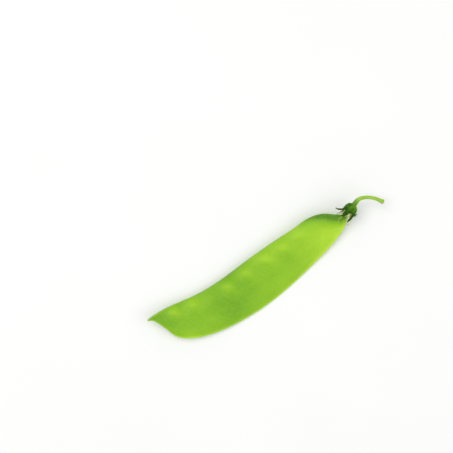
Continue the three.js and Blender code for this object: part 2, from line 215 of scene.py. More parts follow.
PUCKER_SPAN, PUCKERS_APART = (1.5, 9), 10  # half a sector and its length, and from one sector to the next
PUCKER_AT_BASE = 0.3

# -------- the withered stamens, in mm and degrees

SHEATH_LENGTH, SHEATH_INNER, SHEATH_WALL = 3.0, 1.35, 0.45
SHEATH_RADIUS = SHEATH_INNER + SHEATH_WALL / 2
SHEATH_TOP = CUP_FLOOR + NECK_GAP + SHEATH_LENGTH
SHEATH_FOOT = CUP_FLOOR + 0.1
FIRST_GAP = 41
THREADS_PER_GAP, THREAD_SPREAD = 2, 20
THREAD_ROOT = 0.8
THREAD_LENGTH = (2.8, 5.2)
THREAD_FLARE_SEAM, THREAD_FLARE_FACE, THREAD_FLARE_KEEL = 52, 24, 28
THREAD_FLARED_AT = 0.4
THREAD_CURL = (-30, 60)
THREAD_SWAY = (-15, 15)
THREAD_LAG = 1 / 12  # half a step of the solid's thread
THREAD_SEED = 20

# What the stamens' solid leaves out
THREAD_RADII = (0.17, 0.09)  # at the sheath and under the anther
THREAD_KNOBBLY, THREAD_KNOBS = 0.15, 23
THREAD_RIDGES, THREAD_RIDGE_DEPTH = 2, 0.22
THREAD_WAVE = (0.12, 12, 7)  # in and out: depth in mm, radians along it, and for each radian round the pod
THREAD_WEAVE = (0.07, 17, 3)  # the same round the pod, with depth in radians
THREAD_STEPS, THREAD_SIDES = 40, 14
THREAD_CAP = (0.04, 3)
THREAD_TONE, SHEATH_TONE = 0.45, 0.6  # where on the ramp of dry colours a thread starts, and a rim is
ANTHER_LENGTH, ANTHER_RADIUS, ANTHER_LEAST_RADIUS = 0.7, 0.18, 0.05
ANTHER_START, ANTHER_ROWS = 0.1, 14
ANTHER_KNOBBLY, ANTHER_KNOBS = 0.12, 17
SHEATH_PAPER = 0.14
SHEATH_TEARS = [(0.45, 5, 0.7), (0.3, 9, 2)]  # height, number round the rim, and phase
SHEATH_NICK, SHEATH_NICKS = 0.25, 12.5  # height, and half their number
SHEATH_CRUMPLE, SHEATH_CRUMPLE_SIZE, SHEATH_SEED = 0.08, 2.0, 31
SHEATH_SPAN = (3, 4)  # for each radian round it, and its height
SHEATH_FLARE, SHEATH_LOBES = 0.35, 3
SHEATH_PLEAT, SHEATH_PLEATS = 0.04, 20
SHEATH_ROWS, SHEATH_SIDES = 36, 120

# -------- the stalk, in mm

STALK_ROUTE = np.array([
    [0, 0, 0],
    [-0.2, -2.7, 0.1],
    [-2.2, -4.9, -0.4],
    [-5.6, -6.3, -1.5],
    [-9.2, -6.6, -3.0],
])
STALK_RADII = np.array([[1.0], [0.82], [0.7], [0.7], [0.85]])
STALK_STEPS, STALK_SIDES = 160, 48

# What the stalk's solid leaves out
STALK_RIDGES, STALK_RIDGE_DEPTH = 5, 0.06
STALK_KNOT, STALK_KNOT_AT, STALK_KNOT_REACH = 0.05, 1.4, 0.7
STALK_END_FLARE, STALK_END = 0.12, 1.2
STALK_CUT = [  # rings of the cut: share of the end's radius, how far out, and share of the raggedness
    (0.98, 0.05, 1.0),
    (0.9, 0.02, 0.9),
    (0.72, -0.06, 0.8),
    (0.5, -0.14, 0.7),
    (0.25, -0.16, 0.5),
]
STALK_CUT_MIDDLE = -0.17
STALK_RAGGED = [(0.07, 7, 0), (0.05, 13, 1)]  # height, number round the cut, and phase
STALK_CUT_FADES = 8  # rings over which the green turns to the cut's colour
STALK_DARK = (0.3, 3.5)  # distances from the calyx between which the dark green fades
RECEPTACLE_TOP, RECEPTACLE_ROUNDS_FROM = CUP_FLOOR + 0.1, 0.5  # what the stalk swells into, inside the cup
RECEPTACLE_ROUNDING = RECEPTACLE_TOP - RECEPTACLE_ROUNDS_FROM + 0.001  # so that its end isn't a point
RECEPTACLE_SWELLING, RECEPTACLE_ROWS = 0.5, 23

# -------- the view, in mm in the frame's own axes

VIEW_WIDTH = 181.5  # what the picture is wide, where the pod lies
VIEW_MIDDLE = (-7.4, 24.46)
VIEW_TURN = math.radians(-28.16)
VIEW_HEIGHT = 5.0  # the height over the floor where that width holds
LENS, SENSOR = 85, 36

# -------- numbers


def smooth(value, low, high):
    s = np.clip((value - low) / (high - low), 0, 1)
    return s * s * (3 - 2 * s)


def bell(value, middle, reach):
    return np.exp(-(((value - middle) / reach) ** 2))


def blend(a, b, share):
    return a + (b - a) * share


def unit(vectors):
    return vectors / np.linalg.norm(vectors, axis=-1, keepdims=True)


def summed(steps):
    """Where steps lead to, from 0."""
    return np.concatenate([[0], np.cumsum(steps)])


def walked(path):
    """How far each point of a path is along it."""
    return summed(np.linalg.norm(np.diff(path, axis=0), axis=1))


def catmull(points, t):
    """Points at t, from 0 to 1, on the smooth curve through the given ones."""
    last = len(points) - 1
    place = np.clip(np.asarray(t, float) * last, 0, last)
    first = np.minimum(place.astype(int), last - 1)
    w = (place - first)[:, None]
    p0, p1, p2, p3 = (points[np.clip(first + k, 0, last)] for k in (-1, 0, 1, 2))
    v0, v1 = (p2 - p0) / 2, (p3 - p1) / 2
    return (2 * p1 - 2 * p2 + v0 + v1) * w**3 + (3 * p2 - 3 * p1 - 2 * v0 - v1) * w**2 + v0 * w + p1


def ripple(x, y, wavelength, seed, waves=9):
    """A smooth uneven field over x and y, about -1 to 1, from a few waves in seeded directions."""
    draw = np.random.default_rng(seed)
    total = np.zeros(np.broadcast(x, y).shape)
    for _ in range(waves):
        direction, phase = draw.uniform(0, 2 * math.pi, 2)
        k = 2 * math.pi / (wavelength * draw.uniform(0.75, 1.4))
        total += np.sin(k * (x * math.cos(direction) + y * math.sin(direction)) + phase)
    return total / math.sqrt(waves)


def wander(x, y, ripples):
    """The sum of ripples, each given as its depth, wavelength and seed."""
    return sum(depth * ripple(x, y, wavelength, seed) for depth, wavelength, seed in ripples)


def ragged(angle, waves):
    """The height of an uneven rim at an angle, from waves given as height, number round the rim and phase."""
    return sum(height * np.sin(count * angle + phase) for height, count, phase in waves)


def turns_round(sides):
    return 2 * math.pi * np.arange(sides) / sides


# -------- meshes


def grid_faces(rows, columns, closed=True):
    """Quads between rows of points, with each row closed on itself or open."""
    starts = np.arange(columns if closed else columns - 1)
    row, column = np.meshgrid(np.arange(rows - 1), starts, indexing="ij")
    a = row * columns + column
    b = row * columns + (column + 1) % columns
    return np.stack([a, b, b + columns, a + columns], -1).reshape(-1, 4).tolist()


def closed_faces(rows, columns):
    """The faces of closed rows with a fan at each end, whose middles are the two points after the rows."""
    faces = grid_faces(rows, columns)
    start, end = rows * columns, (rows - 1) * columns
    for side in range(columns):
        after = (side + 1) % columns
        faces += [[start, after, side], [start + 1, end + side, end + after]]
    return faces


def joined(parts):
    """The points, faces and looks of several parts of one piece, as those of the whole."""
    faces, start = [], 0
    for points, part_faces, _ in parts:
        faces += [[start + corner for corner in face] for face in part_faces]
        start += len(points)
    looks = {key: np.concatenate([looks[key] for _, _, looks in parts]) for key in parts[0][2]}
    return np.concatenate([points for points, _, _ in parts]), faces, looks


def new_object(name, data):
    made = bpy.data.objects.new(name, data)
    bpy.context.scene.collection.objects.link(made)
    return made


def make_piece(name, points, faces, looks):
    """A smooth mesh object at the origin from points in mm, with an attribute for each entry of looks."""
    mesh = bpy.data.meshes.new(name)
    mesh.from_pydata((np.asarray(points) * MM).tolist(), [], faces)
    for key, values in looks.items():
        attribute = mesh.attributes.new(key, "FLOAT", "POINT")
        attribute.data.foreach_set("value", np.asarray(values, np.float32).ravel())
    mesh.polygons.foreach_set("use_smooth", [True] * len(mesh.polygons))
    mesh.update()
    return new_object(name, mesh)


def tube(path, radii, sides, ridges, ridge_depth):
    """Rings of points round a path, with ridges along it whose depth is a share of the radius."""
    along = unit(np.gradient(path, axis=0))
    across = np.array([0.0, 0.0, 1.0])
    angle = turns_round(sides)
    rings = []
    for centre, direction, radius in zip(path, along, radii):
        across = unit(across - direction * across.dot(direction))
        up = np.cross(direction, across)
        r = (radius * (1 + ridge_depth * np.cos(ridges * angle)))[:, None]
        rings.append(centre + r * (np.cos(angle)[:, None] * across + np.sin(angle)[:, None] * up))
    return np.array(rings)


def rounded_off(rings, looks, bulge, steps):
    """Points, faces and looks of closed rings, with more rings at both ends that round them off in steps."""
    ends = []
    for ring, inner in ((rings[0], rings[1]), (rings[-1], rings[-2])):
        centre = ring.mean(0)
        out = unit(centre - inner.mean(0))
        turns = np.linspace(0, math.pi / 2, steps + 1)[1:-1]
        ends.append([centre + (ring - centre) * math.cos(a) + out * bulge * math.sin(a) for a in turns])
        ends.append(centre + out * bulge)
    rings = np.concatenate([ends[0][::-1], rings, ends[2]])
    points = np.concatenate([rings.reshape(-1, 3), [ends[1], ends[3]]])
    padded = {}
    for key, values in looks.items():
        rows = np.pad(values, ((steps - 1, steps - 1), (0, 0)), mode="edge")
        padded[key] = np.append(rows, [values[0].mean(), values[-1].mean()])
    return points, closed_faces(*rings.shape[:2]), padded


def thicken(piece, thickness, **settings):
    """Gives a sheet its thickness in mm, half to each side, rounds it and applies all its modifiers."""
    sheet = piece.modifiers.new("sheet", "SOLIDIFY")
    sheet.thickness = thickness * MM
    sheet.offset = 0
    for key, value in settings.items():
        setattr(sheet, key, value)
    rounding = piece.modifiers.new("rounding", "SUBSURF")
    rounding.levels = 1
    rounding.render_levels = 1
    bpy.context.view_layer.update()
    done = piece.evaluated_get(bpy.context.evaluated_depsgraph_get())
    mesh = bpy.data.meshes.new_from_object(done)
    piece.modifiers.clear()
    piece.data = mesh
    mesh.name = piece.name


# -------- the pod


def rise(x):
    """Height and tilt of the pod's middle line at x."""
    top = np.where(x > MIDDLE_X, NECK_RISE, TIP_RISE)
    reach = np.where(x > MIDDLE_X, POD_LENGTH - MIDDLE_X, MIDDLE_X)
    share = np.abs(x - MIDDLE_X) / reach
    slope = np.sign(x - MIDDLE_X) * RISE_POWER * top * share ** (RISE_POWER - 1) / reach
    return top * share**RISE_POWER, np.arctan(slope)


def ring_places():
    """Where the pod's rings are on its curves, nearly evenly along it and closer at its ends."""
    t = np.linspace(0, 1, CURVE_STEPS + 1)
    distance = walked((catmull(SEAM, t) + catmull(KEEL, t)) / 2)
    return np.interp(np.linspace(0, 1, POD_RINGS + 1), blend(t, distance / distance[-1], EVENLY_SPACED), t)


class PodGrid:
    """The pod's rings of points while it is still straight, with what is measured at each of them.

    Share is 1 at the seam and -1 at the keel. Face is 1 on the upper valve and -1 on the lower one.
    """

    def __init__(self):
        t = ring_places()
        seam, keel = catmull(SEAM, t), catmull(KEEL, t)
        self.half = catmull(HALF, t)
        self.middle, self.across = (seam + keel) / 2, (seam - keel) / 2
        self.half_width = np.linalg.norm(self.across, axis=1)[:, None]
        self.angle = turns_round(POD_SIDES)[None]
        self.share, self.face = np.cos(self.angle), np.sign(np.round(np.sin(self.angle), 6))
        self.x, self.y = (self.middle[:, k : k + 1] + self.across[:, k : k + 1] * self.share for k in (0, 1))
        self.from_edge = self.half_width * (1 - np.abs(self.share))
        self.from_seam = self.half_width * (1 - self.share)
        self.inside = smooth(self.from_edge, *EDGE_FADE)


def pea_mounds(pod):
    """How far the peas lift the skin, less how far it sags between them."""
    lift = 0 * pod.x
    for x, height, spread, depth in PEAS:
        below = pod.from_seam - depth
        aside = pod.x - x - PEA_LEAN * below
        lift = lift + height * np.exp(-(aside**2 + PEA_ROUNDNESS * below**2) / spread**2)
    gaps = (PEAS[1:, 0] + PEAS[:-1, 0]) / 2
    along, across = SAG_SPREAD
    sag = SAG * sum(bell(pod.x, gap, along) * bell(pod.from_seam, SAG_DEPTH, across) for gap in gaps)
    return lift - sag


def thickness(pod):
    """Half the pod's thickness: the valve, the string along each suture and the mounds of the peas."""
    share, half = pod.share, pod.half
    body = half * (1 - share**2) ** SECTION_POWER * (1 + SEAM_FULLER * share)
    by_string = 1 - smooth(pod.from_edge, *RIB_TAPER_REACH)
    body = body * (1 - RIB_TAPER * by_string * smooth(pod.half_width, *RIB_TAPER_FADE))
    valve = body - TROUGH_DEPTH * bell(share, TROUGH_AT, TROUGH_WIDTH) * smooth(half, *TROUGH_FADE)
    radius = np.minimum(RIB_RADIUS, half)
    bead = np.sqrt(np.maximum(0, radius**2 - (radius - pod.from_edge) ** 2))
    bead = np.where(pod.from_edge < 2 * radius, bead, 0)
    thick = np.maximum(0, (valve + bead + np.sqrt((valve - bead) ** 2 + BEAD_BLEND**2) - BEAD_BLEND) / 2)
    return thick + pea_mounds(pod) * (1 - share**PEA_EDGE_POWER)


def veins(pod):
    """Fine nerves that slant from the seam towards the neck, as a height from 0 to 1."""
    x, y = pod.x, pod.y + VEINS_APART * pod.face
    heights = []
    for slope, spacing, sharpness, height, ripples in VEINS:
        slant = x - slope * pod.from_seam + wander(x, y, ripples)
        heights.append(height * (1 - np.abs(np.sin(math.pi * slant / spacing))) ** sharpness)
    return np.maximum(*heights)


def small_relief(pod, nerves):
    """How far dimples, folds and nerves raise each valve's skin."""
    at_neck = smooth(pod.x, *NECK_FOLDS_START) * (1 - smooth(pod.x, *NECK_FOLDS_END))
    drawn = at_neck + BEAK_FOLDS * (1 - smooth(pod.x, *BEAK_FOLDS_END))
    folds = np.cos(FOLDS * pod.angle + FOLD_WANDER * np.sin(3 * pod.angle))
    folds = FOLD_DEPTH * drawn * folds * smooth(pod.from_edge, *FOLD_EDGE)
    dimples = DIMPLE * pod.inside * ripple(pod.x, pod.y + DIMPLES_APART * pod.face, DIMPLE_SIZE, seed=3)
    return dimples + folds + VEIN_RELIEF * pod.inside * nerves


def bent_rings(pod, nerves):
    """The pod's rings with its thickness and relief, raised at both ends and slightly twisted."""
    thick = thickness(pod)
    waves = SWELL * pod.inside * smooth(pod.half, *SWELL_FADE) * ripple(pod.x, pod.y, SWELL_SIZE, seed=5)
    groove = SEAM_GROOVE * bell(thick, 0, SEAM_GROOVE_WIDTH) * (pod.share > 0)
    groove = groove * smooth(pod.half, *SEAM_GROOVE_FADE)
    height, tilt = rise(pod.middle[:, 0:1])
    turn = TWIST * np.clip((pod.x - MIDDLE_X) / MIDDLE_X, -1, 1)
    up = pod.half_width * pod.share * np.sin(turn) + waves
    up = up + pod.face * (thick + small_relief(pod, nerves) * smooth(thick, 0, THIN_SKIN))
    seamward = pod.across / pod.half_width
    return np.stack([
        pod.x - up * np.sin(tilt) - groove * seamward[:, 0:1],
        pod.middle[:, 1:2] + pod.across[:, 1:2] * pod.share * np.cos(turn) - groove * seamward[:, 1:2],
        height + up * np.cos(tilt),
    ], -1)


def glow_of_peas(pod):
    """How far the peas show through the skin, partly as their paler colour and partly as a painted glow of
    light through it, as round spots with a faint streak from each down the valve.
    """
    glow = 0 * pod.x
    for x, depth, strength, lean in GLOWS:
        below = pod.from_seam - depth
        aside = pod.x - x - lean * below
        reach = np.where(below < 0, GLOW_SEAMWARD, GLOW_KEELWARD + GLOW_DRAWN * lean)
        spot = bell(aside, 0, GLOW_WIDTH) * bell(below, 0, reach)
        streak = smooth(pod.from_seam, *STREAK_START) * (1 - smooth(pod.from_seam, *STREAK_END))
        glow = glow + strength * (spot + STREAK * bell(aside, 0, STREAK_WIDTH) * streak)
    return glow


def pod_tone(pod):
    """How light the skin's green is, from 0 to 1. Painted shade makes it darkest by the seam at the neck, and
    at the waist; painted light lightens the keel side of the neck and the edges, and a painted glow lies over
    the peas.
    """
    along, keelward = pod.x / POD_LENGTH, -pod.share
    tone = TONE_AT_BEAK + sum(amount * smooth(along, start, end) for amount, start, end in TONE_RISES)
    tone = tone + WAIST_SHADE_TONE * bell(along, *WAIST_ALONG)
    belly = BELLY_KEEL_TONE * smooth(keelward, *BELLY_KEEL_ACROSS)
    belly = belly + BELLY_MIDDLE_TONE * bell(keelward, *BELLY_MIDDLE_ACROSS)
    tone = tone + belly * bell(along, *BELLY_ALONG)
    reach = blend(*SHOULDER_REACH, smooth(along, *SHOULDER_WIDENS))
    shoulder_shade = smooth(along, *SHOULDER_ALONG) * np.exp(-((pod.from_seam / reach) ** SHOULDER_POWER))
    seam_shade = smooth(along, *SEAM_ALONG) * np.exp(-pod.from_seam / SEAM_TONE_REACH)
    tone = tone + SHOULDER_SHADE_TONE * shoulder_shade + SEAM_SHADE_TONE * seam_shade
    tone = tone + NECK_LIGHT_TONE * smooth(along, *NECK_ALONG) * smooth(keelward, *NECK_ACROSS)
    tone = tone + FLANK_TONE * bell(along, *FLANK_ALONG) * smooth(keelward, *FLANK_ACROSS)
    return np.clip(tone + EDGE_LIGHT_TONE * np.abs(keelward) ** 3 + PEA_GLOW_TONE * glow_of_peas(pod), 0, 1)


def pale_rim_and_highlight(pod):
    """How much paler than the skin the string along each suture is: its own paler colour, with a painted
    highlight along the edge that is strongest on the keel.
    """
    past_beak = smooth(pod.x, *RIM_CHANGES)
    strength = blend(*RIM_STRENGTH, past_beak) * blend(1.0, RIM_AT_SEAM, smooth(pod.share, *RIM_BETWEEN))
    return strength * bell(pod.from_edge, 0, blend(*RIM_WIDTH, past_beak))


def pod_looks(pod, nerves):
    """What the skin's material reads at each point."""
    uneven = TIP_RAGGED * np.sin(TIP_TEARS * pod.angle)
    return {
        "tone": pod_tone(pod),
        "rim": pale_rim_and_highlight(pod),
        "nerve": nerves * pod.inside,
        "tip": TIP_DRYNESS * (1 - smooth(pod.x + uneven, *TIP_DRY_UNTIL)),
    }


def lay_down(points):
    return points @ REST_TURN.T


def make_pod():
    """The pod's piece, and how far its frame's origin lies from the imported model's once it is laid down."""
    pod = PodGrid()
    nerves = veins(pod)
    points, faces, looks = rounded_off(bent_rings(pod, nerves), pod_looks(pod, nerves), *POD_CAP)
    points = lay_down(points)
    surface = points[:, 2].min() + FLAT_SPOT_DEPTH
    points[:, 2] = np.maximum(points[:, 2], surface)
    low, high = (np.array(corner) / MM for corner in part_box("pod"))
    centring = (low + high - points.min(0) - points.max(0)) / 2
    shift = np.array([centring[0], centring[1], -surface])
    return make_piece("pod_skin", points + shift, faces, looks), shift


# -------- the cup's frame


def cup_frame():
    """The cup's base in the pod's frame, and the directions towards the seam, towards the pod and up."""
    before, last = ((SEAM[k] + KEEL[k]) / 2 for k in (-2, -1))
    before, last = (np.array([*p, rise(p[0])[0]]) for p in (before, last))
    forward = unit(before - last)
    seamward = unit(-np.cross([0, 0, 1], forward))
    up = unit(np.cross(seamward, forward))
    return last - forward * (CUP_FLOOR + NECK_GAP), np.array([seamward, forward, up])


def from_cup(points, shift):
    """Points of the cup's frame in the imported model's, in mm."""
    base, directions = cup_frame()
    return lay_down(base + points @ directions) + shift


def on_cup(radius, turn, forward):
    radius, turn, forward = np.broadcast_arrays(radius, turn, forward)
    return np.stack([radius * np.cos(turn), forward, radius * np.sin(turn)], -1)


def turn_about(vectors, axes, angles):
    """Each vector turned about its own unit axis."""
    c, s = np.cos(angles)[..., None], np.sin(angles)[..., None]
    along = axes * (vectors * axes).sum(-1, keepdims=True)
    return vectors * c + np.cross(axes, vectors) * s + along * (1 - c)


# -------- the calyx


def cup_radius(forward):
    """The cup's outer radius at a distance from its base."""
    return np.interp(forward, CUP_SHARES * CUP_LENGTH, CUP_RADII * CUP_MOUTH)


def sepal_width(s):
    """A sepal's width at s along it, from 0 to 1, as a share of its full one."""
    return (SEPAL_BASE + SEPAL_WIDENS * s) * (1 - s**SEPAL_CLOSES) ** SEPAL_BLUNT


def sepal_lean(sepal, s):
    """How far a sepal leans out from the cup's axis at s along it, in radians."""
    flare = blend(SEPAL_ROOT_LEAN, sepal["flare"], smooth(s, *SEPAL_FLARES))
    curled = np.clip((s - SEPAL_CURLS_FROM) / (1 - SEPAL_CURLS_FROM), 0, 1) ** SEPAL_CURL_POWER
    return np.radians(flare + sepal["curl"] * curled + SEPAL_HOOK * smooth(s, *SEPAL_HOOK_SPAN) ** 2)


def sepal_sheet(sepal, s, spot):
    """Points and outward directions of a sepal's sheet, at s along it and at spot across it, from -1 to 1."""
    middles = np.clip((s[1:] + s[:-1]) / 2 - SEPAL_LAG, 0, 1)
    steps = np.diff(s) * sepal["length"]
    radius = SEPAL_ROOT_RADIUS + summed(np.sin(sepal_lean(sepal, middles)) * steps)
    forward = CUP_LENGTH - SEPAL_ROOT_DEPTH + summed(np.cos(sepal_lean(sepal, middles)) * steps)
    turn = np.radians(sepal["turn"] + sepal["sway"] * s * s)
    lean = sepal_lean(sepal, s)
    along = on_cup(np.sin(lean), turn, np.cos(lean))
    out = turn_about(on_cup(np.cos(lean), turn, -np.sin(lean)), along, np.radians(sepal["twist"] * s))
    side = np.cross(out, along)
    pointed = 1 - SEPAL_POINT * smooth(s, *SEPAL_POINT_SPAN)
    half = (sepal["width"] / 2 * sepal_width(s) * pointed + SEPAL_TIP_HALF)[:, None]
    s, spot = s[:, None], spot[None]
    arch = (SEPAL_ARCH + SEPAL_FOLD * smooth(s, *SEPAL_FOLD_SPAN)) * spot**2 * (2 * half / sepal["width"])
    phase = sepal["turn"] + SEPAL_CRINKLE_STEP * np.sign(spot)
    crinkle = np.sin(SEPAL_CRINKLES * s * (1 + SEPAL_CRINKLE_SLANT * spot) + phase)
    crinkle = SEPAL_CRINKLE * spot**2 * smooth(s, *SEPAL_CRINKLE_SPAN) * crinkle
    points = on_cup(radius, turn, forward)[:, None] + side[:, None] * (spot * half)[..., None]
    return points + out[:, None] * (crinkle - arch)[..., None], np.broadcast_to(out[:, None], points.shape)


def sector_turns(index, spot):
    """Turns about the cup at spots across a sepal's sector, which reaches halfway to both neighbours."""
    own = SEPALS[index]["turn"]
    before = (own - SEPALS[index - 1]["turn"]) % 360
    after = (SEPALS[(index + 1) % len(SEPALS)]["turn"] - own) % 360
    return np.radians(own + spot * np.where(spot < 0, before, after) / 2)


def sepal_relief(index, spot, length, parted):
    """How far ribs, furrows and puckers raise one fifth of the calyx, and what its material reads there."""
    from_midrib = np.abs(spot)
    midrib = bell(spot, 0, blend(*MIDRIB_WIDTH, length))
    laterals = bell(from_midrib, 0.5, LATERAL_WIDTH) * smooth(1 - length, *LATERAL_END)
    furrow = bell(from_midrib, 1, FURROW_WIDTH) * (1 - parted)
    ribs = MIDRIB_HEIGHT * midrib * (1 - MIDRIB_LOWERS * length) + LATERAL_HEIGHT * laterals
    across, along = spot * PUCKER_SPAN[0] + PUCKERS_APART * index, length * PUCKER_SPAN[1]
    pucker = PUCKER * ripple(across, along, PUCKER_SIZE, seed=PUCKER_SEED + index)
    pucker = pucker * (PUCKER_AT_BASE + length) * (1 - furrow)
    margin = from_midrib**4 * parted
    looks = {
        "length": length + 0 * spot,
        "vein": np.maximum(midrib, LATERAL_PALE * laterals),
        "margin": margin,
        "body": (1 - MARGIN_THINNER * margin) * (1 - TIP_THINNER * smooth(length, *SEPAL_WITHERS)),
    }
    return ribs - FURROW_DEPTH * furrow + pucker, looks


def sepal_part(index):
    """Points, faces and looks of one fifth of the calyx: a sector of the cup that grows on into its sepal."""
    spot = np.linspace(-1, 1, SEPAL_COLUMNS + 1)
    turn = sector_turns(index, spot)
    s = np.linspace(0, 1, SEPAL_ROWS + 1)
    root = CUP_LENGTH - SEPAL_ROOT_DEPTH
    in_cup = np.linspace(CUP_START, root, CUP_ROWS, endpoint=False)
    forward = np.append(in_cup, root + s * SEPAL_MEAN_LENGTH)
    cup = on_cup((cup_radius(forward) - SEPAL_SHEET / 2)[:, None], turn[None], forward[:, None])
    cup_out = np.broadcast_to(on_cup(1.0, turn, 0.0)[None], cup.shape)
    blade, blade_out = sepal_sheet(SEPALS[index], s, spot)
    blade, blade_out = (np.concatenate([rows[:1]] * CUP_ROWS + [rows]) for rows in (blade, blade_out))
    parted = smooth(np.append(0 * in_cup, s), *SEPAL_PARTS)[:, None]
    length = np.linspace(0, 1, len(forward))[:, None]
    relief, looks = sepal_relief(index, spot[None], length, parted)
    out = unit(blend(cup_out, blade_out, parted[..., None]))
    points = blend(cup, blade, parted[..., None]) + out * relief[..., None]
    faces = grid_faces(len(forward), len(spot), closed=False)
    return points.reshape(-1, 3), faces, {key: values.ravel() for key, values in looks.items()}


def make_calyx(shift):
    """The cup with its five sepals, as a sheet that is thinner where it has withered."""
    points, faces, looks = joined([sepal_part(index) for index in range(len(SEPALS))])
    body = looks.pop("body")
    piece = make_piece("calyx_leaves", from_cup(points, shift), faces, looks)
    group = piece.vertex_groups.new(name="body")
    for vertex, weight in enumerate(body.tolist()):
        group.add([vertex], weight, "REPLACE")
    weld = piece.modifiers.new("weld", "WELD")
    weld.merge_threshold = WELD_DISTANCE * MM
    thicken(piece, SEPAL_SHEET, vertex_group="body", thickness_vertex_group=SEPAL_THIN)
    return piece


# -------- the withered stamens


def seeded(seed):
    """Numbers from 0 to 1 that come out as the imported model's do."""
    state = seed
    while True:
        state = state * 48271 % 2147483647
        yield state / 2147483647


def thread_path(turn, draw):
    """A stamen's thread in the cup's frame, from inside the sheath to its anther."""
    length = blend(*THREAD_LENGTH, next(draw))
    curl = math.radians(blend(*THREAD_CURL, next(draw)))
    sway = math.radians(blend(*THREAD_SWAY, next(draw)))
    side = THREAD_FLARE_SEAM if math.cos(turn) > 0 else THREAD_FLARE_KEEL
    flare = math.radians(blend(THREAD_FLARE_FACE, side, math.cos(turn) ** 2))
    s = np.linspace(0, 1, THREAD_STEPS + 1)
    middles = np.clip((s[1:] + s[:-1]) / 2 - THREAD_LAG, 0, 1)
    lean = flare * smooth(middles, 0, THREAD_FLARED_AT) + curl * middles**2
    step = length / THREAD_STEPS
    radius = SHEATH_RADIUS + summed(np.sin(lean)) * step
    forward = SHEATH_TOP - THREAD_ROOT + summed(np.cos(lean)) * step
    wave, weave = (a * s * np.sin(b * s + c * turn) for a, b, c in (THREAD_WAVE, THREAD_WEAVE))
    return on_cup(radius + wave, turn + sway * s * s + weave, forward)


def thread_part(index, draw):
    """Points, faces and looks of one thread with its anther."""
    gap, twin = divmod(index, THREADS_PER_GAP)
    aside = (twin / (THREADS_PER_GAP - 1) - 0.5) * THREAD_SPREAD
    path = thread_path(math.radians(FIRST_GAP + 360 / len(SEPALS) * gap + aside), draw)
    s = np.linspace(0, 1, len(path))
    bag = np.linspace(ANTHER_START, 1, ANTHER_ROWS)
    path = np.concatenate([path, path[-1] + unit(path[-1] - path[-4]) * (bag * ANTHER_LENGTH)[:, None]])
    radii = blend(*THREAD_RADII, s) * (1 + THREAD_KNOBBLY * np.sin(THREAD_KNOBS * s + index))
    bag_radii = ANTHER_RADIUS * np.sqrt(1 - (2 * bag - 1) ** 2)
    bag_radii = bag_radii * (1 + ANTHER_KNOBBLY * np.sin(ANTHER_KNOBS * bag + index))
    radii = np.append(radii, np.maximum(bag_radii, ANTHER_LEAST_RADIUS))
    rings = tube(path, radii, THREAD_SIDES, THREAD_RIDGES, THREAD_RIDGE_DEPTH)
    looks = {
        "length": np.append(blend(THREAD_TONE, 1, s), np.ones(ANTHER_ROWS)),
        "anther": np.append(0 * s, np.ones(ANTHER_ROWS)),
    }
    looks = {key: np.tile(values[:, None], THREAD_SIDES) for key, values in looks.items()}
    return rounded_off(rings, looks, *THREAD_CAP)


def make_threads(shift):
    draw = seeded(THREAD_SEED)
    points, faces, looks = joined([thread_part(k, draw) for k in range(len(SEPALS) * THREADS_PER_GAP)])
    return make_piece("stamen_threads", from_cup(points, shift), faces, looks)


def make_sheath(shift):
    """The papery sheath round the neck, with a torn rim that leans out between the threads."""
    turn = turns_round(SHEATH_SIDES)[None]
    share = np.linspace(0, 1, SHEATH_ROWS)[:, None]
    torn = ragged(turn, SHEATH_TEARS) + SHEATH_NICK * np.abs(np.sin(SHEATH_NICKS * turn))
    forward = blend(SHEATH_FOOT, SHEATH_TOP + torn, share)
    across, along = turn * SHEATH_SPAN[0], share * SHEATH_SPAN[1]
    crumple = SHEATH_CRUMPLE * ripple(across, along, SHEATH_CRUMPLE_SIZE, seed=SHEATH_SEED)
    flare = SHEATH_FLARE * share**3 * (0.5 + 0.5 * np.sin(SHEATH_LOBES * turn + 1))
    radius = SHEATH_RADIUS + crumple + flare + SHEATH_PLEAT * np.sin(SHEATH_PLEATS * turn)
    points = on_cup(radius, turn, forward).reshape(-1, 3)
    faces = [face[::-1] for face in grid_faces(SHEATH_ROWS, SHEATH_SIDES)]
    looks = {"length": SHEATH_TONE * share + 0 * turn, "anther": 0 * share * turn}
    piece = make_piece("stamen_sheath", from_cup(points, shift), faces, looks)
    thicken(piece, SHEATH_PAPER)
    return piece


# -------- the stalk


def receptacle():
    """Places on the cup's axis, and radii there, of what the stalk swells into inside the cup."""
    place = np.linspace(RECEPTACLE_TOP, -NECK_GAP, RECEPTACLE_ROWS + 1)[:-1]
    radii = STALK_RADII[0] + RECEPTACLE_SWELLING * smooth(place, -NECK_GAP, RECEPTACLE_ROUNDS_FROM)
    rounding = np.maximum(0, place - RECEPTACLE_ROUNDS_FROM) / RECEPTACLE_ROUNDING
    return place, radii * np.sqrt(np.clip(1 - rounding**2, 0, 1))


def stalk_bar():
    """The path and the radii from the receptacle to the cut, and how far each point is along the stalk."""
    t = np.linspace(0, 1, STALK_STEPS + 1)
    path = catmull(STALK_ROUTE, t) - np.array([0, NECK_GAP, 0])
    distance = walked(path)
    radii = catmull(STALK_RADII, t)[:, 0] + STALK_KNOT * bell(distance, STALK_KNOT_AT, STALK_KNOT_REACH)
    radii = radii + STALK_END_FLARE * smooth(distance, distance[-1] - STALK_END, distance[-1])
    place, top_radii = receptacle()
    path = np.concatenate([np.stack([0 * place, place, 0 * place], -1), path])
    return path, np.append(top_radii, radii), np.append(0 * place, distance)


